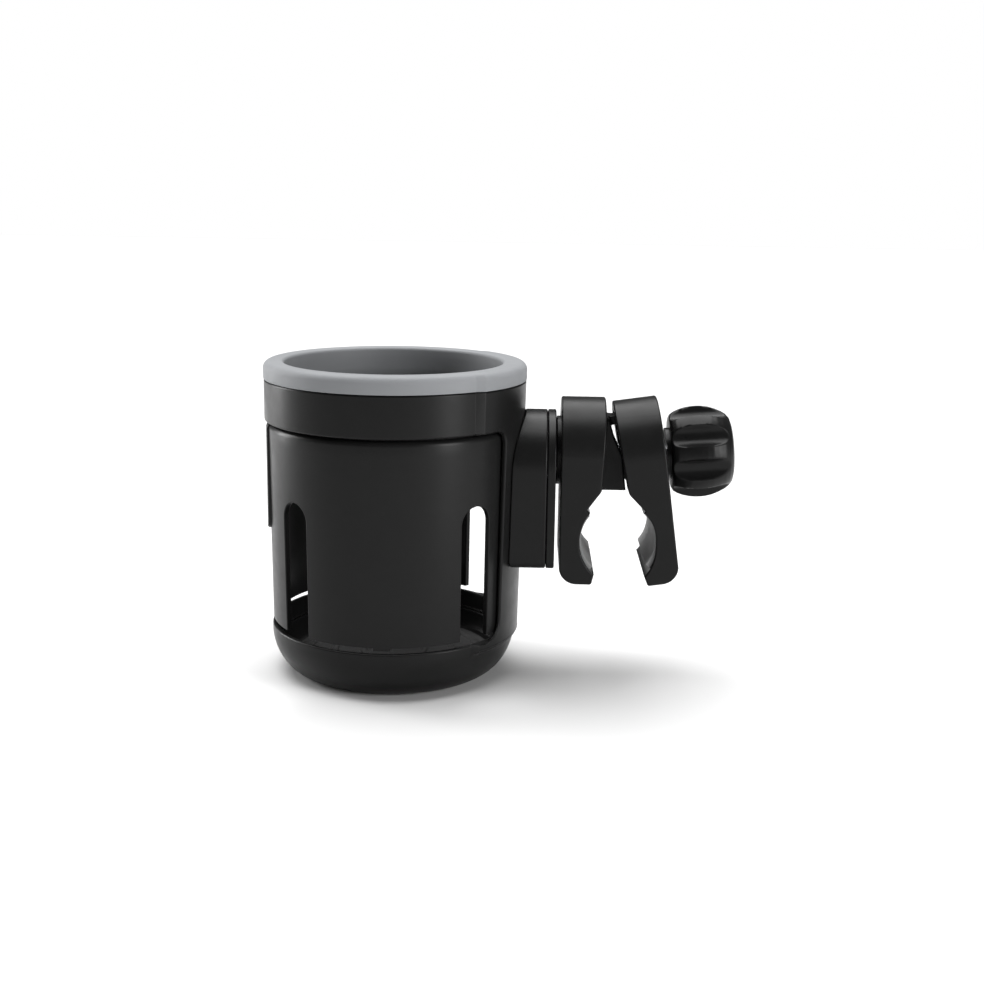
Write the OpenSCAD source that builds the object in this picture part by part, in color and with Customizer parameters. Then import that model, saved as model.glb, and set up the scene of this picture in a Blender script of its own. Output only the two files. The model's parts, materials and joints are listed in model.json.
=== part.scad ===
// Swivelling cup holder with a screw-up tube clamp.
// Millimetres, +Z up, +X along the clamp arm. Origin: centre of the base, on the ground plane.

/* [Cup] */
// Total height of the cup, base to mouth
total_h = 117; // [100:1:140]
// Clear diameter of the mouth
mouth_d = 80.4; // [70:0.2:90]
// Outer diameter of the soft rim ring
ring_d = 95.6; // [88:0.2:104]
// Height of the rim ring that shows above the band
ring_h = 6.4; // [4:0.1:10]
// Depth of the ring's skirt inside the mouth
skirt_h = 12; // [8:0.5:20]
// Outer diameter of the top band
band_d = 95.2; // [88:0.2:104]
// Height of the band's lower edge
band_z = 95.4; // [85:0.1:105]
// Wall of the band and of the base cup
cage_wall = 2.7; // [2:0.1:4]
// How far the clamp-side panel stands out from the band
bump_out = 1.5; // [0:0.1:3]
// How much the clamp-side panel leans in from top to foot
panel_lean = 1.8; // [0:0.1:3]
// Half angle of the clamp-side panel
bump_half_angle = 45.5; // [30:0.5:60]
// Half width of the strut that joins band and base
strut_half_w = 24; // [15:0.5:30]
// Height of the base cup's rim
base_rim_z = 18.4; // [12:0.1:30]
// Diameter of the flat underside
foot_d = 70; // [50:1:80]

/* [Finger sleeve] */
// Outer diameter of the sleeve below its shoulder
sleeve_top_d = 92.6; // [86:0.2:96]
// Outer diameter of the sleeve at the finger ends
sleeve_end_d = 91.0; // [84:0.2:96]
// Sleeve wall
sleeve_wall = 2.2; // [1.6:0.1:3]
// Height of the finger ends
finger_z = 20.6; // [19:0.1:30]
// Width of the slots between fingers
slot_w = 12.8; // [6:0.2:20]
// Height of the slots' rounded tops
slot_top_z = 69.5; // [40:0.5:85]
// Half angle of the blank badge plate
badge_half_angle = 17; // [10:1:30]
// Height of the badge plate's lower edge
badge_z = 54.6; // [40:0.2:70]

/* [Swivel bracket] */
// Height of the swivel axis
swivel_z = 84.45; // [70:0.05:95]
// Half width of the bracket and radius of its arched top
bracket_r = 20; // [15:0.5:24]
// Centre height of the bracket's arched top
bracket_arch_z = 79.5; // [70:0.5:85]
// Height of the bracket's lower edge
bracket_z = 43.4; // [30:0.2:60]
// Face of the bracket cover
bracket_x = 60.4; // [56:0.1:66]
// Thickness of the bracket cover
cover_t = 3; // [1.5:0.1:4]
// Diameter of the swivel shaft
shaft_d = 16; // [10:0.5:20]
// Diameter of the swivel flange seen in the gap
flange_d = 25.5; // [20:0.5:30]

/* [Clamp] */
// Left face of the fixed jaw
jaw_x = 62.2; // [60:0.1:66]
// Thickness of a jaw at its top
jaw_t = 15; // [10:0.5:20]
// Half depth of the jaws and radius of their arched tops
jaw_r = 20; // [15:0.5:24]
// Height of the jaws' lower end
jaw_z = 38; // [30:0.5:45]
// Diameter of the tube that the pads fit at rest
tube_d = 27; // [22:0.5:30]
// Height of the tube's axis
tube_z = 54.9; // [50:0.1:60]
// Thickness of a grip pad
pad_t = 2.4; // [1.6:0.1:3]
// Half width of the boss between the jaws
boss_half_w = 9; // [7:0.5:12]
// Tilt of the clamp screw, outer end up
screw_tilt = 4.5; // [0:0.5:8]
// Tilt of the moving jaw at rest, lower end out
jaw_tilt = 8.4; // [0:0.1:12]
// How far the moving jaw is closed at rest, measured from where it stands square
jaw_shift = 7.4; // [0:0.1:10]
// Diameter of the clamp bolt
bolt_d = 6; // [5:1:8]

/* [Knob] */
// Largest diameter of the knob
knob_d = 33.8; // [26:0.2:40]
// Length of the knob
knob_l = 22.6; // [18:0.2:32]
// Number of finger flutes
flutes = 8; // [6:1:12]

/* [Hidden] */
$fn = 96;
eps = 0.02;
ring_z = total_h - ring_h;
band_r = band_d / 2;
panel_z = base_rim_z - 3.4;
panel_r = band_r + bump_out;
sleeve_top_r = sleeve_top_d / 2;
sleeve_end_r = sleeve_end_d / 2;
neck_r = band_r - cage_wall - 0.2;
shoulder_z = band_z - 0.8;
tube_x = jaw_x + 21.2;
jaw_in_x = jaw_x + jaw_t;
// twice the X of the plane that the jaws mirror each other in when both stand square
mirror_x = 2 * (jaw_x + 22.7);
// ends of the fixed pad round the tube, and the turn that faces a pad to the moving jaw
pad_top_a = 140;
pad_foot_a = 229;
moving_turn = pad_top_a + pad_foot_a - 180 - jaw_tilt;
// a point on the screw axis, and the pivot of the moving jaw with the jaws square
screw_x = 114;
screw_z = 85;
pivot_x = mirror_x - jaw_in_x + 3;
pivot_z = screw_z + (pivot_x - screw_x) * tan(screw_tilt);
// the same pivot at rest
rest_x = pivot_x - jaw_shift * cos(screw_tilt);
rest_z = pivot_z - jaw_shift * sin(screw_tilt);
// distances along the screw axis, measured from the pivot at rest
head_s = -23.2;
washer_s = 13.1;
washer_t = 1.5;
knob_s = washer_s + washer_t + 0.1;
bolt_end_s = 29.5;
insert_l = 11;
// turn of the knob at rest
flute_turn = 8.4;

// ---- shared helpers ----

// turns a solid built up +Z so that it runs along +X
module along_x() {
  rotate([0, 90, 0])
    children();
}

// puts a solid built up +Z on the screw axis, s along it from the resting pivot
module on_screw(s = 0) {
  translate([rest_x, 0, rest_z])
    rotate([0, 90 - screw_tilt, 0])
      translate([0, 0, s])
        children();
}

// carries the moving jaw from its square position to its resting one
module jaw_rest() {
  translate([rest_x, 0, rest_z])
    rotate([0, -jaw_tilt, 0])
      translate([-pivot_x, 0, -pivot_z])
        children();
}

// a flat XZ outline made into a block half_w to each side of the XZ plane
module slab(points, half_w) {
  rotate([90, 0, 0])
    linear_extrude(height = 2 * half_w, center = true)
      polygon(points);
}

// a cylinder that lies along Y
module y_bar(x, z, r, half_w) {
  translate([x, 0, z])
    rotate([90, 0, 0])
      cylinder(r = r, h = 2 * half_w, center = true);
}

// a plate across X from x0 to x1: arched top, square foot with rounded corners
module arch_plate(x0, x1, r, arch_z, foot_z, corner = 3) {
  translate([x0, 0, 0]) {
    translate([0, 0, arch_z])
      along_x()
        cylinder(r = r, h = x1 - x0);
    translate([0, -r, foot_z + corner])
      cube([x1 - x0, 2 * r, arch_z - foot_z - corner]);
    translate([0, corner - r, foot_z])
      cube([x1 - x0, 2 * (r - corner), corner + eps]);
    for (side = [-1, 1])
      translate([0, side * (r - corner), foot_z + corner])
        along_x()
          cylinder(r = corner, h = x1 - x0);
  }
}

// the wedge about +X that holds the clamp-side panel, with ramped edges
module panel_wedge(z0, z1) {
  a = bump_half_angle;
  translate([0, 0, z0])
    linear_extrude(height = z1 - z0)
      polygon([
        [30, 0],
        [(band_r - 0.6) * cos(a + 2.6), (band_r - 0.6) * sin(a + 2.6)],
        [(panel_r + 0.6) * cos(a - 1.4), (panel_r + 0.6) * sin(a - 1.4)],
        [70, 40],
        [70, -40],
        [(panel_r + 0.6) * cos(a - 1.4), -(panel_r + 0.6) * sin(a - 1.4)],
        [(band_r - 0.6) * cos(a + 2.6), -(band_r - 0.6) * sin(a + 2.6)],
      ]);
}

// ---- cup ----

// moulded shell: top band, clamp-side strut and bowl-shaped base cup
module cage_frame() {
  color([0.09, 0.09, 0.1])
    difference() {
      union() {
        band();
        base_bowl();
        intersection() {
          panel_skin();
          union() {
            slab_y_window();
            panel_wedge(band_z - 0.3, ring_z);
            panel_wedge(panel_z, base_rim_z);
          }
        }
      }
      at_housing_screws() {
        cylinder(r = 1.4, h = 6, $fn = 32);
        translate([0, 0, -1])
          cylinder(r = 2.45, h = 1.02, $fn = 48);
        cylinder(r1 = 2.45, r2 = 1.35, h = 1.32, $fn = 48);
      }
    }
}

module band() {
  r_in = band_r - cage_wall;
  rotate_extrude($fn = 180)
    union() {
      translate([r_in, band_z])
        square([cage_wall - 1.2, ring_z - band_z]);
      translate([r_in, band_z + 1.2])
        square([cage_wall, ring_z - band_z - 1.2]);
      translate([band_r - 1.2, band_z + 1.2])
        circle(r = 1.2, $fn = 32);
    }
}

// the clamp-side panel all round, leaning in toward the foot
module panel_skin() {
  step_z = base_rim_z + 1;
  rotate_extrude($fn = 180)
    polygon([
      [panel_r - panel_lean, panel_z],
      [panel_r, ring_z],
      [band_r - 1, ring_z],
      [band_r - 0.9, band_z],
      [sleeve_end_r + 0.5, step_z],
      [sleeve_end_r - 0.8, step_z - 1],
      [sleeve_end_r - 0.8, panel_z],
    ]);
}

// the strut's outline seen along X, with fillets where it meets the band and the base
module slab_y_window() {
  fillet = 4;
  translate([30, 0, 0])
    rotate([90, 0, 90])
      linear_extrude(height = 30)
        difference() {
          translate([-strut_half_w - fillet, panel_z])
            square([2 * (strut_half_w + fillet), band_z - panel_z + 0.6]);
          for (side = [-1, 1]) {
            for (z = [base_rim_z + fillet, band_z - fillet])
              translate([side * (strut_half_w + fillet), z])
                circle(r = fillet, $fn = 48);
            translate([side * (strut_half_w + fillet) - fillet, base_rim_z + fillet])
              square([2 * fillet, band_z - base_rim_z - 2 * fillet]);
          }
        }
}

// bowl: outer curve is an ellipse-like corner from the flat foot to the rim
function bowl_pt(a) = [
  foot_d / 2 + (sleeve_end_r + 0.4 - foot_d / 2) * pow(cos(a), 1.15),
  15.3 * (1 - pow(sin(a), 1.15))
];

module base_bowl() {
  steps = 14;
  outer_r = sleeve_end_r + 0.4;
  outer = [for (i = [steps : -1 : 1]) bowl_pt(90 * i / steps)];
  rim = [
    [outer_r, 15.3],
    [outer_r - 0.1, base_rim_z - 0.7],
    [outer_r - 0.5, base_rim_z - 0.1],
    [outer_r - 0.9, base_rim_z],
    [outer_r - 1.9, base_rim_z],
    [outer_r - 2.3, base_rim_z - 0.4],
  ];
  inner = [
    [outer_r - 2.5, 12],
    [outer_r - 3.3, 11.2],
    [outer_r - 3.9, 6.5],
    [outer_r - 5.2, 4],
    [outer_r - 7.2, 3],
    [0, 3],
  ];
  rotate_extrude($fn = 180)
    polygon(concat([[0, 0]], outer, rim, inner));
}

// soft ring: cap over the band, skirt down inside the mouth
module rim_ring() {
  color([0.47, 0.48, 0.5]) {
    rotate_extrude($fn = 180)
      ring_profile(ring_d / 2);
    intersection() {
      rotate_extrude($fn = 180)
        ring_profile(ring_d / 2 + bump_out);
      panel_wedge(ring_z, total_h);
    }
  }
}

module ring_profile(r_out) {
  r_in = mouth_d / 2;
  edge = 2.4;
  lip = 0.9;
  translate([r_in, ring_z + 0.05])
    square([r_out - r_in, ring_h - edge - 0.05]);
  translate([r_in, ring_z + 1])
    square([r_out - r_in - edge, ring_h - 1 - lip]);
  translate([r_in + lip, ring_z + 1])
    square([r_out - r_in - edge - lip, ring_h - 1]);
  translate([r_out - edge, total_h - edge])
    circle(r = edge, $fn = 48);
  translate([r_in + lip, total_h - lip])
    circle(r = lip, $fn = 32);
  translate([r_in, total_h - skirt_h])
    square([1.8, skirt_h - lip]);
}

// liner: neck inside the band, rounded shoulder, four hanging fingers
module finger_sleeve() {
  color([0.1, 0.1, 0.1])
    difference() {
      sleeve_shell();
      for (a = [45, 135, 225, 315])
        rotate([0, 0, a])
          slot_cut();
      badge_blank(0);
    }
  color([0.1, 0.1, 0.1])
    translate([-3, -sleeve_end_r + 0.3, finger_z - 1.1])
      cube([6, sleeve_wall - 0.6, 1.6]);
}

module sleeve_shell() {
  round_r = 2;
  r = sleeve_top_r;
  arc = [for (a = [0 : 15 : 90]) [
    r - round_r + round_r * cos(a),
    shoulder_z - round_r + round_r * sin(a)
  ]];
  rotate_extrude($fn = 180)
    polygon(concat(
      [
        [sleeve_end_r - sleeve_wall, finger_z],
        [sleeve_end_r - 0.4, finger_z],
        [sleeve_end_r, finger_z + 0.4],
      ],
      arc,
      [
        [neck_r, shoulder_z],
        [neck_r, ring_z - 0.1],
        [mouth_d / 2 + 1.95, ring_z - 0.1],
        [mouth_d / 2 + 1.95, shoulder_z - 1],
        [sleeve_top_r - sleeve_wall, shoulder_z - 4],
      ]
    ));
}

// one slot along +X: straight sides, rounded top, open below
module slot_cut() {
  r = slot_w / 2;
  translate([30, 0, slot_top_z - r])
    along_x()
      cylinder(r = r, h = 30, $fn = 64);
  translate([30, -r, finger_z - 5])
    cube([30, slot_w, slot_top_z - r - finger_z + 5]);
}

// blank plate on the far side of the sleeve, with a rounded foot
module badge_plate() {
  color([0.085, 0.085, 0.09])
    badge_blank(0.05);
}

module badge_blank(gap) {
  corner = 5;
  half_w = sleeve_top_r * sin(badge_half_angle) - gap;
  top_z = shoulder_z - 0.4 - gap;
  foot = badge_z + gap;
  intersection() {
    rotate_extrude($fn = 180)
      polygon([
        [sleeve_top_r - 0.9 + gap, top_z + gap],
        [sleeve_top_r - 1.2 + gap, foot - gap],
        [sleeve_top_r + 0.5, foot - gap],
        [sleeve_top_r + 0.8, foot + 0.9],
        [sleeve_top_r + 0.8, top_z - 1.2],
        [sleeve_top_r + 0.1, top_z + gap],
      ]);
    translate([-60, 0, 0])
      along_x_plate(30, half_w, foot, top_z, corner);
  }
}

// a block along X whose YZ outline has rounded lower corners
module along_x_plate(len, half_w, z0, z1, corner) {
  translate([0, -half_w, z0 + corner])
    cube([len, 2 * half_w, z1 - z0 - corner]);
  translate([0, corner - half_w, z0])
    cube([len, 2 * (half_w - corner), corner + eps]);
  for (side = [-1, 1])
    translate([0, side * (half_w - corner), z0 + corner])
      along_x()
        cylinder(r = corner, h = len, $fn = 48);
}

// soft disc on the floor of the base cup, with three raised rings
module floor_mat() {
  color([0.16, 0.16, 0.17])
    rotate_extrude($fn = 180)
      polygon([
        [0, 3], [37.6, 3], [38, 3.6], [38, 4.2], [37.4, 4.8], [34, 4.8],
        [33.6, 5.3], [31.6, 5.3], [31.2, 4.8], [24, 4.8], [23.6, 5.3], [21.6, 5.3],
        [21.2, 4.8], [13, 4.8], [12.6, 5.3], [10.6, 5.3], [10.2, 4.8], [0, 4.8],
      ]);
}

// ---- swivel bracket ----

cover_screw_yz = [[-15.8, 51], [15.8, 51], [-15.8, 78], [15.8, 78]];

// hollow block seated on the strut, closed by the cover
module bracket_housing() {
  back_x = bracket_x - cover_t - 0.1;
  color([0.1, 0.1, 0.11])
    difference() {
      arch_plate(40, back_x, bracket_r, bracket_arch_z, bracket_z);
      translate([0, 0, panel_z])
        cylinder(r1 = panel_r - panel_lean + 0.02, r2 = panel_r + 0.02,
                 h = ring_z - panel_z, $fn = 180);
      // cavity for the swivel stack
      translate([50.7, 0, swivel_z])
        along_x()
          cylinder(r = 13.2, h = 20);
      // cored pocket below it
      translate([51.6, -11.5, 47])
        cube([20, 23, 21]);
      for (p = cover_screw_yz)
        translate([back_x - 5.2, p[0], p[1]])
          along_x()
            cylinder(r = 1.25, h = 8, $fn = 32);
      at_housing_screws()
        cylinder(r = 1.25, h = 8, $fn = 32);
    }
}

// puts a solid built up +Z at each housing screw, driven outward through the strut
module at_housing_screws() {
  for (a = [-19.3, 19.3], z = [56, 73])
    rotate([0, 0, a])
      translate([sleeve_top_r + 0.2, 0, z])
        along_x()
          children();
}

module housing_screws() {
  color([0.6, 0.6, 0.62])
    at_housing_screws()
      tapping_screw(7);
}

// a self-tapping screw that drives toward +Z from its flat head at z = 0
module tapping_screw(len, head_r = 2.4, head_h = 1.3) {
  difference() {
    union() {
      cylinder(r1 = head_r, r2 = 1.3, h = head_h, $fn = 48);
      cylinder(r = 1.25, h = len - 1, $fn = 32);
      translate([0, 0, len - 1])
        cylinder(r1 = 1.25, r2 = 0.5, h = 1, $fn = 32);
    }
    for (a = [0, 90])
      rotate([0, 0, a])
        translate([-1.3, -0.3, -0.1])
          cube([2.6, 0.6, 0.8]);
  }
}

// flat cover over the block, bored for the swivel shaft
module cover_plate() {
  color([0.1, 0.1, 0.11])
    difference() {
      arch_plate(bracket_x - cover_t, bracket_x, bracket_r, bracket_arch_z, bracket_z);
      translate([bracket_x - cover_t - 1, 0, swivel_z])
        along_x()
          cylinder(d = shaft_d + 0.2, h = cover_t + 2);
      for (p = cover_screw_yz)
        translate([bracket_x + eps, p[0], p[1]])
          rotate([0, -90, 0]) {
            cylinder(r = 1.4, h = 6, $fn = 32);
            cylinder(r1 = 2.45, r2 = 1.35, h = 1.32, $fn = 48);
          }
    }
}

module cover_screws() {
  color([0.6, 0.6, 0.62])
    for (p = cover_screw_yz)
      translate([bracket_x, p[0], p[1]])
        rotate([0, -90, 0])
          tapping_screw(6.6);
}

// low-friction ring under the cover
module friction_disc() {
  x1 = bracket_x - cover_t;
  color([0.85, 0.85, 0.82])
    translate([x1 - 1.2, 0, swivel_z])
      along_x()
        difference() {
          cylinder(r = 12.6, h = 1.2);
          translate([0, 0, -1])
            cylinder(d = shaft_d + 0.3, h = 4);
        }
}

// springy bowed washer that loads the swivel
module wave_washer() {
  x1 = bracket_x - cover_t - 1.2 - 0.3;
  t = 0.5;
  color([0.7, 0.7, 0.72])
    translate([x1 - 1, 0, swivel_z])
      along_x()
        difference() {
          cylinder(r1 = 8.9, r2 = 11.9, h = 1);
          translate([0, 0, -t])
            cylinder(r1 = 8.9, r2 = 11.9, h = 1);
          translate([0, 0, -2])
            cylinder(d = shaft_d + 0.4, h = 5);
        }
}

module retaining_washer() {
  color([0.65, 0.65, 0.67])
    translate([shaft_end_x() - 1.5, 0, swivel_z])
      along_x()
        difference() {
          cylinder(r = 11.9, h = 1.5);
          translate([0, 0, -1])
            cylinder(d = 5.3, h = 4);
        }
}

function shaft_end_x() = bracket_x - cover_t - 2.6;

module swivel_screw() {
  x = shaft_end_x() - 1.5;
  color([0.6, 0.6, 0.62])
    translate([x, 0, swivel_z])
      along_x()
        difference() {
          union() {
            translate([0, 0, -2.4])
              cylinder(r = 4.4, h = 2.4);
            cylinder(d = 5, h = 10);
          }
          translate([0, 0, -3])
            cylinder(r = 1.7, h = 2, $fn = 6);
        }
}

// shaft and flange that carry the clamp on the bracket
module swivel_hub() {
  x0 = shaft_end_x();
  flange_x = bracket_x + 0.3;
  color([0.09, 0.09, 0.1])
    difference() {
      translate([x0, 0, swivel_z])
        along_x() {
          cylinder(d = shaft_d, h = flange_x - x0 + 1);
          translate([0, 0, flange_x - x0])
            cylinder(d = flange_d, h = 4);
        }
      translate([x0 - 1, 0, swivel_z])
        along_x()
          cylinder(d = 5, h = 11.5);
      for (a = hub_screw_angles)
        translate([flange_x - eps, hub_y(a), hub_z(a)])
          along_x() {
            cylinder(r = 1.4, h = 10, $fn = 32);
            cylinder(r1 = 2.2, r2 = 1.35, h = 1.3, $fn = 48);
          }
    }
}

hub_screw_angles = [90, 210, 330];
function hub_y(a) = 10.45 * cos(a);
function hub_z(a) = swivel_z + 10.45 * sin(a);

module hub_screws() {
  color([0.6, 0.6, 0.62])
    for (a = hub_screw_angles)
      translate([bracket_x + 0.3, hub_y(a), hub_z(a)])
        along_x()
          tapping_screw(11, head_r = 2.15, head_h = 1.25);
}

// ---- clamp ----

// outline of a jaw with the jaws square: x = 0 is its outer face, the tube is toward +x
function jaw_outline() = concat(
  [[0, 105], [jaw_t + 1.3, 105], [jaw_t + 1.2, 98], [jaw_t - 0.1, 73], [9.9, 66.1]],
  [for (a = [142 : 6 : 226]) [24.3 + 17 * cos(a), 54.3 + 17 * sin(a)]],
  [[12.9, 41.9], [12, jaw_z], [6.2, jaw_z]],
  [for (a = [265 : -12.5 : 190]) [6.4 + 6.4 * cos(a), jaw_z + 6.4 + 6.4 * sin(a)]]
);

// a jaw body in the fixed jaw's place, without its boss or pocket
module jaw_body() {
  intersection() {
    translate([jaw_x, 0, 0])
      slab(jaw_outline(), jaw_r + 1);
    arch_plate(jaw_x - 1, jaw_x + jaw_t + 2, jaw_r, swivel_z, jaw_z - 1, 1);
  }
}

// room for the tube and for a grip pad, cut from a jaw at rest
module tube_room(turn) {
  y_bar(tube_x, tube_z, tube_d / 2 + 0.3, jaw_r + 1);
  intersection() {
    y_bar(tube_x, tube_z, tube_d / 2 + pad_t, jaw_r - 1.2);
    pad_wedge(turn, 0.3);
  }
}

// the part of the circle round the tube that a pad lines, turned to face its jaw
module pad_wedge(turn, grow) {
  translate([tube_x, 0, tube_z])
    rotate([0, turn, 0])
      slab([
        [0, 0],
        [30 * cos(pad_top_a - grow), 30 * sin(pad_top_a - grow)],
        [-40, 0],
        [30 * cos(pad_foot_a + grow), 30 * sin(pad_foot_a + grow)],
      ], jaw_r);
}

// soft lining of a jaw, shaped to the tube
module grip_pad(turn) {
  intersection() {
    difference() {
      y_bar(tube_x, tube_z, tube_d / 2 + pad_t - 0.03, jaw_r - 1.25);
      y_bar(tube_x, tube_z, tube_d / 2, jaw_r);
    }
    pad_wedge(turn, 0);
  }
}

module fixed_jaw() {
  color([0.09, 0.09, 0.1])
    difference() {
      union() {
        jaw_body();
        slab([[jaw_in_x - 1, 98.2], [jaw_in_x + 2.3, 98.2], [jaw_in_x + 4.6, 90.5],
              [jaw_in_x + 7.6, 84], [jaw_in_x + 9.2, 71.4], [jaw_in_x - 1, 71.4]], boss_half_w);
        slab([[jaw_in_x + 1, 94.8], [jaw_in_x + 1, 98.2], [jaw_in_x + 6.6, 98.2],
              [jaw_in_x + 7, 97.8], [jaw_in_x + 7, 95.2], [jaw_in_x + 6.6, 94.8]], 4);
      }
      tube_room(0);
      // seat of the swivel flange
      translate([jaw_x - 1, 0, swivel_z])
        along_x()
          cylinder(d = flange_d + 0.2, h = bracket_x + 4.32 - jaw_x + 1);
      // bolt head, square neck, shank, spring seat
      on_screw(head_s - 1.6)
        cylinder(r = 6.4, h = 5.1);
      on_screw(-20)
        translate([-3.05, -3.05, 0])
          cube([6.1, 6.1, 4]);
      on_screw(-20)
        cylinder(d = bolt_d + 0.4, h = 20, $fn = 64);
      on_screw(spring_s)
        cylinder(r = 5.6, h = 10, $fn = 64);
      for (a = hub_screw_angles)
        translate([jaw_x, hub_y(a), hub_z(a)])
          along_x()
            cylinder(r = 1.25, h = 10, $fn = 32);
    }
}

// where the spring's fixed end sits, along the screw axis
spring_s = -9.4;
spring_end_s = 6.6;

module fixed_pad() {
  color([0.3, 0.31, 0.32])
    grip_pad(0);
}

// dome-headed bolt with a square neck, held by the fixed jaw
module clamp_bolt() {
  color([0.68, 0.68, 0.7])
    on_screw(head_s) {
      cylinder(r1 = 4.6, r2 = 6.1, h = 1.4);
      translate([0, 0, 1.4])
        cylinder(r = 6.1, h = 1.8);
      translate([-3, -3, 3.2])
        cube([6, 6, 3.4]);
      cylinder(d = bolt_d, h = bolt_end_s - head_s - 0.8, $fn = 64);
      translate([0, 0, bolt_end_s - head_s - 0.8])
        cylinder(d1 = bolt_d, d2 = bolt_d - 1.4, h = 0.8, $fn = 64);
    }
}

// compression spring drawn as closed coils joined by a thin liner strip
module jaw_spring() {
  coils = 7;
  wire = 1.1;
  pitch = (spring_end_s - spring_s - wire) / (coils - 1);
  color([0.72, 0.72, 0.74])
    on_screw(spring_s) {
      for (i = [0 : coils - 1])
        translate([0, 0, wire / 2 + i * pitch])
          rotate_extrude($fn = 48)
            translate([4.4, 0])
              circle(d = wire, $fn = 16);
      for (i = [0 : coils - 2])
        rotate([0, 0, i % 2 * 180])
          translate([4.4 - wire / 2, -wire / 2, wire / 2 + i * pitch])
            cube([wire, wire, pitch]);
    }
}

// plain washer between the knob and the moving jaw
module thrust_washer() {
  color([0.08, 0.08, 0.09])
    on_screw(washer_s)
      difference() {
        cylinder(r = 9.4, h = washer_t);
        translate([0, 0, -1])
          cylinder(d = bolt_d + 0.4, h = 4, $fn = 64);
      }
}

// mirror image of the fixed jaw with a pocket for its boss
module moving_jaw() {
  in_x = mirror_x - jaw_in_x;
  color([0.09, 0.09, 0.1])
    difference() {
      jaw_rest()
        difference() {
          translate([mirror_x, 0, 0])
            mirror([1, 0, 0])
              jaw_body();
          translate([in_x - 3, -boss_half_w - 1, 70.5])
            cube([13, 2 * boss_half_w + 2, 100.2 - 70.5]);
          // oversize hole so that the jaw can rock on the bolt
          translate([in_x, 0, pivot_z])
            along_x()
              cylinder(r = 4.5, h = 30, $fn = 64);
        }
      tube_room(moving_turn);
    }
}

module moving_pad() {
  color([0.3, 0.31, 0.32])
    grip_pad(moving_turn);
}

// ---- knob ----

// barrel-shaped knob with scooped flutes; it is built up +Z from its inner face
module knob() {
  r = knob_d / 2;
  h = knob_l;
  color([0.08, 0.08, 0.09])
    on_screw(knob_s)
      difference() {
        rotate_extrude($fn = 120)
          polygon([
            [0, 0], [r - 3.7, 0], [r - 2.6, 0.6], [r - 1.7, 2], [r - 0.9, 4], [r - 0.3, 6.4],
            [r - 0.05, 8.6], [r, 10.4], [r - 0.1, 12.2], [r - 0.5, 14.5], [r - 1.3, 16.9],
            [r - 2.4, 19.3], [r - 3.5, 20.9], [r - 4.8, 22], [r - 6.6, h], [0, h],
          ]);
        for (i = [0 : flutes - 1])
          rotate([0, 0, (i + 0.5) * 360 / flutes - flute_turn])
            flute(r, h);
        // insert seat, then room for the bolt's end, then the cap's seat
        translate([0, 0, -1])
          cylinder(r = 5.55, h = insert_l + 1.5);
        cylinder(r = 3.9, h = h - 2);
        translate([0, 0, h - 1.6])
          cylinder(r = 8.05, h = 2);
      }
}

// a scoop with a straight floor and rounded ends
module flute(r, h) {
  scoop_r = 4.6;
  depth = 3.4;
  translate([r - depth + scoop_r, 0, -1])
    cylinder(r = scoop_r, h = h + 2, $fn = 64);
}

module knob_insert() {
  color([0.76, 0.62, 0.3])
    on_screw(knob_s + 0.3)
      difference() {
        union() {
          cylinder(r = 5.5, h = 4);
          cylinder(r = 5, h = insert_l);
          translate([0, 0, insert_l - 4])
            cylinder(r = 5.5, h = 4);
        }
        translate([0, 0, -1])
          cylinder(d = bolt_d + 0.1, h = insert_l + 2, $fn = 64);
      }
}

module knob_cap() {
  color([0.1, 0.1, 0.11])
    on_screw(knob_s + knob_l - 1.55)
      rotate_extrude()
        polygon([[0, 0], [8, 0], [8, 1.3], [7.6, 1.55], [6.6, 1.55], [6.2, 1.25], [0, 1.25]]);
}

cage_frame();
rim_ring();
finger_sleeve();
badge_plate();
floor_mat();
bracket_housing();
housing_screws();
cover_plate();
cover_screws();
friction_disc();
wave_washer();
retaining_washer();
swivel_screw();
swivel_hub();
hub_screws();
fixed_jaw();
fixed_pad();
clamp_bolt();
jaw_spring();
thrust_washer();
moving_jaw();
moving_pad();
knob();
knob_insert();
knob_cap();
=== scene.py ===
# Looks of the swivelling cup holder with a screw-up tube clamp. Metres, in the CAD model's frame.
import json
import math

import bmesh
import bpy
from mathutils import Matrix, Vector


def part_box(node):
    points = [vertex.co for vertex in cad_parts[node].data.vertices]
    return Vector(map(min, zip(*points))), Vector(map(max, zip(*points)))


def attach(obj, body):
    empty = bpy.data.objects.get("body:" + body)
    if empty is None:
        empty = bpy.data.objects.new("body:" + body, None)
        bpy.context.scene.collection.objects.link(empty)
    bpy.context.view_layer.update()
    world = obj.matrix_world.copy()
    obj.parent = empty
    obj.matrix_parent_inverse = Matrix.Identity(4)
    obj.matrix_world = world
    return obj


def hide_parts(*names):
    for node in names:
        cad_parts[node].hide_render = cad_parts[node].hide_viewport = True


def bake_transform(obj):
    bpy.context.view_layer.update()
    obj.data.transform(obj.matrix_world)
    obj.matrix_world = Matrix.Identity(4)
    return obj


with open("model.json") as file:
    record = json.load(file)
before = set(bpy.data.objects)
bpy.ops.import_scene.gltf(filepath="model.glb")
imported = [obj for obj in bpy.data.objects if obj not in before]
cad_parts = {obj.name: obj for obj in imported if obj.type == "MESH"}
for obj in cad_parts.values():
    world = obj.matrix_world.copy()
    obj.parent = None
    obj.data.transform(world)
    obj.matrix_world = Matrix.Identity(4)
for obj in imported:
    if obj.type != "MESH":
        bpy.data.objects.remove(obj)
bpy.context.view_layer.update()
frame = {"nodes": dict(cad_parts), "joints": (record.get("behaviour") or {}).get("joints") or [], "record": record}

MM = 0.001
RECORD = frame["record"]
BODY_OF = {n: b for b, members in RECORD["behaviour"]["bodies"].items() for n in members}
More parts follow.
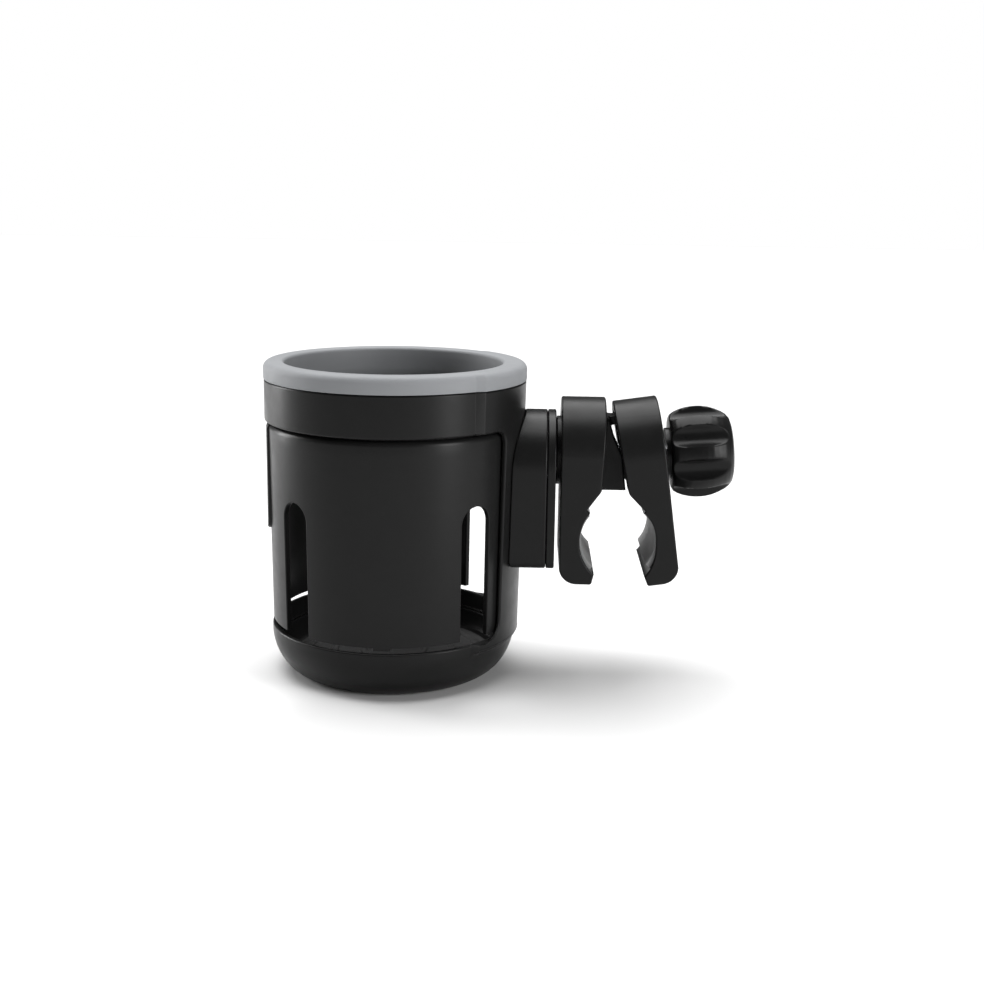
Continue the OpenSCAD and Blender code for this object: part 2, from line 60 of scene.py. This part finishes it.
SLOT_OF = {s["node"]: s["material_slot"] for s in RECORD["subparts"]}


# ---- camera ----

def aim_camera():
    """The photograph's view: a little above the mouth, turned slightly to the left."""
    yaw, pitch, roll = math.radians(-1.37), math.radians(12.46), math.radians(0.86)
    forward = Vector((math.sin(yaw) * math.cos(pitch), math.cos(yaw) * math.cos(pitch),
                      -math.sin(pitch)))
    right = Vector((math.cos(yaw), -math.sin(yaw), 0))
    up = right.cross(forward)
    side = math.cos(roll) * right + math.sin(roll) * up
    top = math.cos(roll) * up - math.sin(roll) * right
    data = bpy.data.cameras.new("camera")
    data.sensor_width = 36
    data.lens = 50.51
    data.clip_start = 0.01
    data.clip_end = 20
    camera = bpy.data.objects.new("camera", data)
    bpy.context.scene.collection.objects.link(camera)
    camera.matrix_world = Matrix.Translation((0.04906, -0.5067, 0.17977)) @ Matrix(
        (side, top, -forward)).transposed().to_4x4()
    bpy.context.scene.camera = camera


# ---- light and floor ----

def soft_light(name, place, aim, size, watts):
    data = bpy.data.lights.new(name, "AREA")
    data.shape = "RECTANGLE"
    data.size, data.size_y = size
    data.energy = watts
    light = bpy.data.objects.new(name, data)
    light.location = place
    light.rotation_euler = (Vector(aim) - Vector(place)).to_track_quat("-Z", "Y").to_euler()
    bpy.context.scene.collection.objects.link(light)


def studio():
    scene = bpy.context.scene
    scene.view_settings.view_transform = "Standard"
    world = bpy.data.worlds.new("studio")
    world.use_nodes = True
    background = world.node_tree.nodes["Background"]
    background.inputs["Color"].default_value = (1, 1, 1, 1)
    background.inputs["Strength"].default_value = 0.1
    # the camera itself sees plain white behind the object
    seen = world.node_tree.nodes.new("ShaderNodeBackground")
    seen.inputs["Color"].default_value = (1, 1, 1, 1)
    path = world.node_tree.nodes.new("ShaderNodeLightPath")
    choose = world.node_tree.nodes.new("ShaderNodeMixShader")
    link = world.node_tree.links.new
    link(path.outputs["Is Camera Ray"], choose.inputs[0])
    link(background.outputs[0], choose.inputs[1])
    link(seen.outputs[0], choose.inputs[2])
    link(choose.outputs[0], world.node_tree.nodes["World Output"].inputs["Surface"])
    scene.world = world
    sun = bpy.data.lights.new("overhead", "SUN")
    sun.energy = 5.6
    sun.angle = math.radians(65)
    overhead = bpy.data.objects.new("overhead", sun)
    overhead.rotation_euler = (math.radians(-15), math.radians(-4), 0)
    scene.collection.objects.link(overhead)
    middle = (0.04, 0, 0.06)
    soft_light("left_box", (-0.9, 0.35, 0.25), middle, (0.3, 0.7), 9)
    soft_light("right_box", (0.8, -0.55, 0.3), middle, (0.25, 0.6), 7)

    material = bpy.data.materials.new("floor_paint")
    material.use_nodes = True
    shader = material.node_tree.nodes["Principled BSDF"]
    shader.inputs["Base Color"].default_value = (0.62, 0.62, 0.62, 1)
    shader.inputs["Roughness"].default_value = 0.9
    bpy.ops.mesh.primitive_plane_add(size=8, location=(0, 0, 0))
    floor = bpy.context.object
    floor.name = "floor"
    floor.data.materials.append(material)


# ---- materials ----

class Nodes:
    """Short hand for building a node tree round its Principled shader."""

    def __init__(self, name):
        self.material = bpy.data.materials.new(name)
        self.material.use_nodes = True
        self.tree = self.material.node_tree
        self.shader = self.tree.nodes["Principled BSDF"]
        self.place = self.add("ShaderNodeTexCoord").outputs["Object"]

    def add(self, kind, inputs=None, **settings):
        node = self.tree.nodes.new(kind)
        for key, value in settings.items():
            setattr(node, key, value)
        for key, value in (inputs or {}).items():
            self.feed(node.inputs[key], value)
        return node

    def feed(self, socket, value):
        if isinstance(value, bpy.types.NodeSocket):
            self.tree.links.new(value, socket)
        else:
            socket.default_value = value

    def noise(self, scale, detail=2.0, roughness=0.5):
        node = self.add("ShaderNodeTexNoise",
                        {"Vector": self.place, "Scale": scale, "Detail": detail,
                         "Roughness": roughness})
        return node.outputs["Fac"]

    def span(self, value, low, high):
        """value from 0..1 carried to low..high, with noise's middle range spread out."""
        node = self.add("ShaderNodeMapRange", {"Value": value, "From Min": 0.3, "From Max": 0.7,
                                               "To Min": low, "To Max": high})
        return node.outputs["Result"]

    def mix(self, factor, a, b):
        node = self.add("ShaderNodeMix", data_type="RGBA")
        self.feed(node.inputs["Factor"], factor)
        self.feed(node.inputs[6], a)
        self.feed(node.inputs[7], b)
        return node.outputs[2]

    def bump(self, height, depth, before=None):
        node = self.add("ShaderNodeBump", {"Height": height, "Strength": 1.0, "Distance": depth})
        if before is not None:
            self.feed(node.inputs["Normal"], before)
        return node.outputs["Normal"]


def rgba(grey, tint=(1, 1, 1)):
    return tuple(grey * t for t in tint) + (1,)


def moulded(name, grey, rough, tint=(1, 1, 1), mottle=0.12, grain=3500, depth=0.006,
            specular=0.5, sheen=0.0):
    """Moulded plastic or rubber: slight mottling, uneven gloss and a fine spark-eroded grain."""
    n = Nodes(name)
    patches = n.noise(45, 3)
    n.feed(n.shader.inputs["Base Color"],
           n.mix(patches, rgba(grey * (1 - mottle), tint), rgba(grey * (1 + mottle), tint)))
    n.feed(n.shader.inputs["Roughness"], n.span(n.noise(160, 4, 0.6), rough - 0.04, rough + 0.05))
    n.shader.inputs["Specular IOR Level"].default_value = specular
    n.shader.inputs["Sheen Weight"].default_value = sheen
    n.feed(n.shader.inputs["Normal"], n.bump(n.noise(grain, 2), depth * MM))
    return n.material


def metal(name, colour, rough, streak=(1, 1, 14)):
    """Turned or rolled metal with fine streaks."""
    n = Nodes(name)
    stretched = n.add("ShaderNodeMapping", {"Vector": n.place, "Scale": streak})
    lines = n.add("ShaderNodeTexNoise", {"Vector": stretched.outputs["Vector"], "Scale": 900,
                                         "Detail": 3}).outputs["Fac"]
    n.feed(n.shader.inputs["Base Color"],
           n.mix(lines, tuple(0.85 * c for c in colour) + (1,), tuple(colour) + (1,)))
    n.shader.inputs["Metallic"].default_value = 1.0
    n.feed(n.shader.inputs["Roughness"], n.span(lines, rough - 0.06, rough + 0.08))
    n.feed(n.shader.inputs["Normal"], n.bump(lines, 0.003 * MM))
    return n.material


MATERIALS = {
    "black_shell": moulded("black_shell", 0.007, 0.34, specular=0.14),
    "grey_soft_ring": moulded("grey_soft_ring", 0.215, 0.6, (0.96, 0.99, 1.03), specular=0.3),
    "black_liner": moulded("black_liner", 0.008, 0.33, specular=0.14),
    "floor_rubber": moulded("floor_rubber", 0.006, 0.7, depth=0.02, grain=1800),
    "pad_rubber": moulded("pad_rubber", 0.16, 0.75, depth=0.02, grain=1800),
    "jaw_plastic": moulded("jaw_plastic", 0.007, 0.36, specular=0.14),
    "knob_plastic": moulded("knob_plastic", 0.006, 0.30, specular=0.14),
    "bearing_plastic": moulded("bearing_plastic", 0.6, 0.5, (1, 0.98, 0.94)),
    "steel": metal("steel", (0.58, 0.58, 0.6), 0.3),
    "brass": metal("brass", (0.72, 0.52, 0.24), 0.28),
}


# ---- mesh building ----

def grid(bm, rows):
    """Quads between rows of points in millimetres; equal points are welded later."""
    made = [[bm.verts.new(Vector(point) * MM) for point in row] for row in rows]
    for low, high in zip(made, made[1:]):
        for i in range(len(low) - 1):
            bm.faces.new((low[i], low[i + 1], high[i + 1], high[i]))


def polar(radius, degrees, z):
    angle = math.radians(degrees)
    return (radius * math.cos(angle), radius * math.sin(angle), z)


def revolve(bm, angles, loop_at):
    """A ring swept through the angles, whose closed (radius, z) section may change with them."""
    rows = []
    for a in angles + angles[:1]:
        loop = loop_at(a)
        rows.append([polar(r, a, z) for r, z in loop + loop[:1]])
    grid(bm, rows)


def welded(bm):
    bmesh.ops.remove_doubles(bm, verts=bm.verts, dist=1e-6)
    bmesh.ops.dissolve_degenerate(bm, edges=bm.edges, dist=1e-7)
    bmesh.ops.recalc_face_normals(bm, faces=bm.faces)
    return bm


def clean_copy(node):
    """A CAD node's surface as a bmesh, with flat regions joined into single faces."""
    bm = bmesh.new()
    bm.from_mesh(frame["nodes"][node].data)
    bmesh.ops.remove_doubles(bm, verts=bm.verts, dist=2e-6)
    bmesh.ops.dissolve_limit(bm, angle_limit=math.radians(0.7), verts=bm.verts, edges=bm.edges)
    return bm


def finish_piece(bm, node, bevel=0.0, segments=3, crease=28, skip=None, rigid=True):
    """Makes the piece that stands for a CAD node. Edges sharper than crease are rounded by
    bevel millimetres unless skip says not to; a rigid piece rides its node's body."""
    mesh = bpy.data.meshes.new(node + "_piece")
    weights = bm.edges.layers.float.new("bevel_weight_edge")
    for edge in bm.edges:
        if len(edge.link_faces) != 2 or edge.calc_face_angle() < math.radians(crease):
            continue
        middle = (edge.verts[0].co + edge.verts[1].co) / 2
        if skip is None or not skip(middle / MM):
            edge[weights] = 1.0
    for face in bm.faces:
        face.smooth = True
    bm.to_mesh(mesh)
    bm.free()
    mesh.set_sharp_from_angle(angle=math.radians(crease))
    piece = bpy.data.objects.new(mesh.name, mesh)
    bpy.context.scene.collection.objects.link(piece)
    if bevel:
        rounding = piece.modifiers.new("rounding", "BEVEL")
        rounding.limit_method = "WEIGHT"
        rounding.width = bevel * MM
        rounding.segments = segments
        rounding.use_clamp_overlap = False
        rounding.harden_normals = True
        rounding.miter_outer = "MITER_ARC"
    mesh.materials.append(MATERIALS[SLOT_OF[node]])
    if rigid:
        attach(piece, BODY_OF[node])
    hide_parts(node)
    return piece


# ---- measures in millimetres, taken from the nodes' boxes where they can be ----

def high(node):
    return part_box(node)[1] / MM


def low(node):
    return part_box(node)[0] / MM


CUP_TOP = high("rim_ring").z
RING_R = -low("rim_ring").x
MOUTH_R = RECORD["mounts"][1]["dims"]["r_mm"]
RING_Z = high("cage_frame").z
BAND_R = -low("cage_frame").x
BAND_Z = 95.4
BAND_WALL = 2.7
BUMP = 1.5
PANEL_Z = 15.0
PANEL_LEAN = 1.8
PANEL_EDGE = (44.1, 48.1)
STRUT_HALF_W = 24.0
BASE_RIM_Z = 18.4
FOOT_R = 35.0
FINGER_Z = low("finger_sleeve").z + 1.1
SLEEVE_TOP_R = 46.3
SLEEVE_END_R = 45.5
SLEEVE_WALL = 2.2
SLOT_HALF_W = 6.4
SLOT_TOP_Z = 69.5


def smooth(t):
    t = min(max(t, 0), 1)
    return t * t * (3 - 2 * t)


def lerp(a, b, t):
    return a + (b - a) * t


def panel_share(degrees):
    """1 on the raised clamp-side panel, 0 off it, with a short ramp between."""
    off = abs((degrees + 180) % 360 - 180)
    return 1 - min(max((off - PANEL_EDGE[0]) / (PANEL_EDGE[1] - PANEL_EDGE[0]), 0), 1)


def panel_r(z):
    """Outer radius of the clamp-side panel, which leans in toward its foot."""
    return BAND_R + BUMP - PANEL_LEAN * (RING_Z - z) / (RING_Z - PANEL_Z)


def arc_points(cx, cz, r, start, stop, count):
    return [(cx + r * math.cos(math.radians(lerp(start, stop, i / count))),
             cz + r * math.sin(math.radians(lerp(start, stop, i / count))))
            for i in range(count + 1)]


def strut_half_w(z):
    """Half width of the strut, which flares into the band above and the base below."""
    wide = STRUT_HALF_W
    for edge, r in ((BAND_Z - z, 4.5), (z - BASE_RIM_Z, 7.0)):
        if edge < r:
            wide += r - math.sqrt(max(r * r - (r - edge) ** 2, 0))
    return wide


def strut_angle(z):
    return math.degrees(math.asin(strut_half_w(z) / panel_r(z)))


STRUT_COLUMNS = [i / 16 for i in range(-16, 17)]


def cup_angles(first, last):
    """Angles from first to last, closer together on the panel's ramps."""
    span = last - first
    plain = [first + span * i / 140 for i in range(141)]
    ramps = [side * (PANEL_EDGE[0] + 0.5 * i) % 360 for i in range(-1, 10) for side in (-1, 1)]
    return sorted(plain + [a for a in ramps if first + 0.2 < a < last - 0.2])


def shell_angles(flare):
    """Angles all the way round, which meet the strut's columns where its flare ends."""
    return [flare * u for u in STRUT_COLUMNS] + cup_angles(flare, 360 - flare)[1:]


def swept(bm, angles, rows):
    """rows is a list of functions that give (radius, z) at an angle."""
    grid(bm, [[polar(row(a)[0], a, row(a)[1]) for a in angles] for row in rows])


def bowl_rows():
    """The base cup's outer curve from the middle of its foot up to the rim."""
    rim_r = SLEEVE_END_R + 0.4
    points = [(r, 0) for r in (0, 12, 24, FOOT_R - 1.5)]
    for i in range(13):
        a = math.radians(90 - 90 * i / 12)
        points.append((FOOT_R + (rim_r - FOOT_R) * math.cos(a) ** 1.15,
                       15.3 * (1 - math.sin(a) ** 1.15)))
    points += [(rim_r, 15.9), (rim_r, 16.6), (rim_r, BASE_RIM_Z)]

    def row(r, z):
        raised = smooth((z - 14.2) / 1.6)
        return lambda a: (lerp(r, panel_r(z), panel_share(a) * raised), z)
    dense = []
    for (r0, z0), (r1, z1) in zip(points, points[1:]):
        dense += [(r0, z0)] if z0 < 12 else [(r0, z0), ((r0 + r1) / 2, (z0 + z1) / 2)]
    return [row(r, z) for r, z in dense + points[-1:]]


def cage_frame():
    """Band, strut and base cup as one closed skin."""
    bm = bmesh.new()
    band_in = BAND_R - BAND_WALL
    rim_in = SLEEVE_END_R - 1.5
    strut_top_in = BAND_R - 0.9

    def fixed(r, z):
        return lambda a: (r, z)

    def panel(z, plain_r=BAND_R):
        return lambda a: (lerp(plain_r, panel_r(z), panel_share(a)), z)

    band_flare, base_flare = strut_angle(BAND_Z), strut_angle(BASE_RIM_Z)
    band_round, base_round = shell_angles(band_flare), shell_angles(base_flare)
    band_open = cup_angles(band_flare, 360 - band_flare)
    base_open = cup_angles(base_flare, 360 - base_flare)

    # base cup: outside, rim, inside
    swept(bm, base_round, bowl_rows())
    swept(bm, base_open, [panel(BASE_RIM_Z, SLEEVE_END_R + 0.4), fixed(rim_in, BASE_RIM_Z)])
    inside = [(rim_in, BASE_RIM_Z), (rim_in - 0.6, 12), (rim_in - 1.4, 11.2),
              (rim_in - 2.0, 6.5), (rim_in - 3.3, 4), (rim_in - 5.3, 3), (20, 3), (0, 3)]
    swept(bm, base_round, [fixed(r, z) for r, z in inside])

    # band: lower edge, outside, top, inside
    swept(bm, band_open, [fixed(band_in, BAND_Z), fixed(strut_top_in, BAND_Z), panel(BAND_Z)])
    outside = [panel(lerp(BAND_Z, RING_Z, i / 6)) for i in range(7)]
    swept(bm, band_round, outside + [fixed(band_in, RING_Z), fixed(band_in, BAND_Z)])

    # strut: outside, inside and both edges
    flare = [0, 0.12, 0.3, 0.6, 1.0, 1.6, 2.4, 3.4, 4.5, 5.7, 7.0]
    heights = [BASE_RIM_Z + d for d in flare] + [lerp(BASE_RIM_Z + 7, BAND_Z - 4.5, i / 20)
                                                for i in range(1, 20)]
    heights += [BAND_Z - d for d in (4.5, 3.4, 2.4, 1.6, 1.0, 0.6, 0.3, 0.12, 0)]

    def inner_r(z):
        return lerp(SLEEVE_END_R + 0.5, strut_top_in, (z - BASE_RIM_Z) / (BAND_Z - BASE_RIM_Z))

    outer = [[polar(panel_r(z), u * strut_angle(z), z) for u in STRUT_COLUMNS] for z in heights]
    inner = [[polar(inner_r(z), u * strut_angle(z), z) for u in STRUT_COLUMNS] for z in heights]
    inner[0] = [polar(rim_in, u * base_flare, BASE_RIM_Z) for u in STRUT_COLUMNS]
    grid(bm, outer)
    grid(bm, inner + [[polar(band_in, u * band_flare, BAND_Z) for u in STRUT_COLUMNS]])
    for side in (0, -1):
        grid(bm, [[o[side], i[side]] for o, i in zip(outer, inner)])
    finish_piece(welded(bm), "cage_frame", 0.7)


def rim_ring():
    """Soft ring: rounded cap over the band and a skirt down inside the mouth."""
    bm = bmesh.new()
    edge, lip, skirt = 2.6, 1.3, 1.8
    skirt_z = low("rim_ring").z

    def loop(a):
        out = RING_R + (BUMP - 0.05) * panel_share(a)
        return (arc_points(out - edge, CUP_TOP - edge, edge, 0, 90, 9)
                + arc_points(MOUTH_R + lip, CUP_TOP - lip, lip, 90, 180, 6)
                + [(MOUTH_R, 113), (MOUTH_R, 109), (MOUTH_R, skirt_z + 0.6),
                   (MOUTH_R + 0.25, skirt_z + 0.15), (MOUTH_R + 0.7, skirt_z),
                   (MOUTH_R + skirt, skirt_z), (MOUTH_R + skirt, RING_Z + 0.05),
                   (out - 0.5, RING_Z + 0.05), (out - 0.12, RING_Z + 0.17),
                   (out, RING_Z + 0.5), (out, RING_Z + 2)])
    revolve(bm, cup_angles(0, 360)[:-1], loop)
    finish_piece(welded(bm), "rim_ring", crease=50)


def slot_angle(z, r):
    """Half angle of a slot between fingers: square sides with a round top."""
    centre = SLOT_TOP_Z - SLOT_HALF_W
    if z >= SLOT_TOP_Z:
        return 0.0
    half = SLOT_HALF_W if z < centre else math.sqrt(
        max(SLOT_HALF_W ** 2 - (z - centre) ** 2, 0))
    return math.degrees(math.asin(half / r))


def finger_sleeve():
    """Liner: neck inside the band, rounded shoulder and four hanging fingers."""
    bm = bmesh.new()
    shoulder_z = BAND_Z - 0.8
    neck_out = BAND_R - BAND_WALL - 0.2
    neck_in = MOUTH_R + 1.95
    round_r = 2.0
    arc_z = [SLOT_TOP_Z - SLOT_HALF_W * (1 - math.sin(math.radians(a)))
             for a in range(0, 91, 6)]
    heights = [lerp(FINGER_Z, arc_z[0], i / 10) for i in range(10)] + arc_z
    heights += [lerp(SLOT_TOP_Z, shoulder_z - round_r, i / 6) for i in range(1, 7)]

    def outer_r(z):
        return lerp(SLEEVE_END_R, SLEEVE_TOP_R,
                    (z - FINGER_Z) / (shoulder_z - round_r - FINGER_Z))

    columns = [i / 36 for i in range(37)]
    for quarter in range(4):
        middle = 45 + 90 * quarter

        def row(r, z):
            gap = slot_angle(z, r)
            return [polar(r, middle + lerp(gap, 90 - gap, u), z) for u in columns]
        outer = [row(outer_r(z), z) for z in heights]
        inner = [row(outer_r(z) - SLEEVE_WALL, z) for z in heights]
        shoulder = [row(r, z) for r, z in
                    arc_points(SLEEVE_TOP_R - round_r, shoulder_z - round_r, round_r, 0, 90, 6)]
        neck = [row(r, z) for r, z in
                ((neck_out, shoulder_z), (neck_out, RING_Z - 0.1), (neck_in, RING_Z - 0.1),
                 (neck_in, shoulder_z - 1), (SLEEVE_TOP_R - SLEEVE_WALL, shoulder_z - 4))]
        grid(bm, [inner[0]] + outer + shoulder[1:] + neck + inner[::-1])
        below = [i for i, z in enumerate(heights) if z <= SLOT_TOP_Z]
        for side in (0, -1):
            grid(bm, [[outer[i][side], inner[i][side]] for i in below])
    welded(bm)
    # nub under the front finger
    nub = bmesh.ops.create_cube(bm, size=1)["verts"]
    for v in nub:
        v.co = Vector((v.co.x * 6, v.co.y * 1.6 - SLEEVE_END_R + 1.1,
                       v.co.z * 1.6 + FINGER_Z - 0.3)) * MM
    # the finger ends stay crisp
    finish_piece(bm, "finger_sleeve", 0.45, segments=2, skip=lambda p: p.z < FINGER_Z + 0.3)


def clamp_screw():
    """The knob's joint position and its axis, along the clamp screw."""
    joint = next(j for j in frame["joints"] if j["name"] == "knob_spin")
    return Vector(joint["pos_m"]), Vector(joint["axis"]).normalized()


def knob():
    """Barrel with scooped flutes, on the clamp screw's axis."""
    inner_face, axis = clamp_screw()
    big_r, cap_r, cap_z = 16.9, 8.05, 21.0
    flutes, turn = 8, 8.4
    scoop_r, depth = 4.6, 3.4
    profile = [(0, 0), (big_r - 3.7, 0), (big_r - 2.6, 0.6), (big_r - 1.7, 2), (big_r - 0.9, 4),
               (big_r - 0.3, 6.4), (big_r - 0.05, 8.6), (big_r, 10.4), (big_r - 0.1, 12.2),
               (big_r - 0.5, 14.5), (big_r - 1.3, 16.9), (big_r - 2.4, 19.3),
               (big_r - 3.5, 20.9), (big_r - 4.8, 22), (big_r - 6.6, 22.6), (cap_r, 22.6),
               (cap_r, cap_z), (0, cap_z)]
    dense = []
    for (r0, s0), (r1, s1) in zip(profile, profile[1:]):
        dense += [(lerp(r0, r1, i / 4), lerp(s0, s1, i / 4)) for i in range(4)]
    dense.append(profile[-1])

    def radius(r, a):
        """The barrel's radius with the flutes scooped out, softened along their ridges."""
        pitch = 360 / flutes
        off = math.radians((a + turn + pitch / 2 + pitch / 2) % pitch - pitch / 2)
        far = big_r - depth + scoop_r
        under = scoop_r ** 2 - (far * math.sin(off)) ** 2
        if r < cap_r + 1 or under <= 0:
            return r
        floor_r = far * math.cos(off) - math.sqrt(under)
        soft = 0.3
        blend = smooth(0.5 + (floor_r - r) / (4 * soft))
        return lerp(floor_r, r, blend) - soft * blend * (1 - blend)

    bm = bmesh.new()
    angles = [i * 1.25 for i in range(289)]
    grid(bm, [[polar(radius(r, a), a, s) for a in angles] for r, s in dense])
    welded(bm)
    tilt = Vector((0, 0, 1)).rotation_difference(axis).to_matrix().to_4x4()
    bmesh.ops.transform(bm, matrix=Matrix.Translation(inner_face) @ tilt, verts=bm.verts)
    finish_piece(bm, "knob", crease=50)


def jaw_spring():
    """Wound spring between the jaws, left free of the bodies."""
    axis = clamp_screw()[1]
    start, end = low("jaw_spring"), high("jaw_spring")
    middle = (start + end) / 2
    coil_r, wire_r, turns = 4.4, 0.53, 7
    length = 15.8 - 2 * wire_r
    per_turn, sides = 40, 12
    even = 0.65
    across = Vector((0, 1, 0))
    third = axis.cross(across)
    rows = []
    for i in range(per_turn * turns + 1):
        u = i / (per_turn * turns)
        # the coils lie closer together at both ends
        rise = lerp(smooth(u), u, even)
        a = 2 * math.pi * turns * u
        out = across * math.cos(a) + third * math.sin(a)
        centre = middle + axis * (length * (rise - 0.5)) + out * coil_r
        rows.append([centre + (out * math.cos(b) + axis * math.sin(b)) * wire_r
                     for b in (2 * math.pi * k / sides for k in range(sides + 1))])
    bm = bmesh.new()
    grid(bm, rows)
    welded(bm)
    bmesh.ops.holes_fill(bm, edges=[e for e in bm.edges if len(e.link_faces) == 1])
    bmesh.ops.recalc_face_normals(bm, faces=bm.faces)
    piece = finish_piece(bm, "jaw_spring", crease=50, rigid=False)
    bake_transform(piece)


TUBE = Vector(RECORD["mounts"][0]["pos_m"]) / MM
TUBE_R = RECORD["mounts"][0]["dims"]["r_mm"]
PAD_T = 2.35
PAD_HALF_W = 18.7
# the ends of the fixed pad round the tube, and the turn that carries it to the moving pad
PAD_ENDS = (140.3, 228.7)
MOVING_TURN = 180.6


def in_tube_room(point):
    """True near the tube, where the jaws' thin lips round the pads keep their crisp edges."""
    room_r, jaw_half_w = 17, 19.9
    return math.hypot(point.x - TUBE.x, point.z - TUBE.z) < room_r and abs(point.y) < jaw_half_w


def grip_pad(node, turn):
    """Soft lining of a jaw: a band round the tube with rounded edges."""
    inner_r, outer_r, edge, steps = TUBE_R, TUBE_R + PAD_T, 0.4, 36
    side = PAD_HALF_W - edge
    # the section's corners as (radius, y), each rounded over a quarter turn from its start
    corners = ((outer_r - edge, side, 0), (inner_r + edge, side, 90),
               (inner_r + edge, -side, 180), (outer_r - edge, -side, 270))
    section = [point for r, y, start in corners
               for point in arc_points(r, y, edge, start, start + 90, 3)]
    rows = []
    for i in range(steps + 1):
        a = math.radians(lerp(PAD_ENDS[0], PAD_ENDS[1], i / steps) - turn)
        rows.append([(TUBE.x + r * math.cos(a), y, TUBE.z + r * math.sin(a))
                     for r, y in section + section[:1]])
    bm = bmesh.new()
    grid(bm, rows)
    welded(bm)
    bmesh.ops.holes_fill(bm, edges=[e for e in bm.edges if len(e.link_faces) == 1])
    bmesh.ops.recalc_face_normals(bm, faces=bm.faces)
    finish_piece(bm, node, crease=50)


BEVELS = {
    "bracket_housing": 0.8, "cover_plate": 0.5, "swivel_hub": 0.3, "fixed_jaw": 0.7,
    "moving_jaw": 0.7, "knob_cap": 0.2,
    "badge_plate": 0.4, "floor_mat": 0.2,
}

aim_camera()
studio()
cage_frame()
rim_ring()
finger_sleeve()
knob()
jaw_spring()
grip_pad("fixed_pad", 0)
grip_pad("moving_pad", MOVING_TURN)
BUILT = {"cage_frame", "rim_ring", "finger_sleeve", "knob", "jaw_spring", "fixed_pad",
         "moving_pad"}
for node, obj in frame["nodes"].items():
    if node in BEVELS:
        finish_piece(clean_copy(node), node, BEVELS[node],
                     skip=in_tube_room if "jaw" in node else None)
    elif node not in BUILT:
        obj.data.materials.clear()
        obj.data.materials.append(MATERIALS[SLOT_OF[node]])
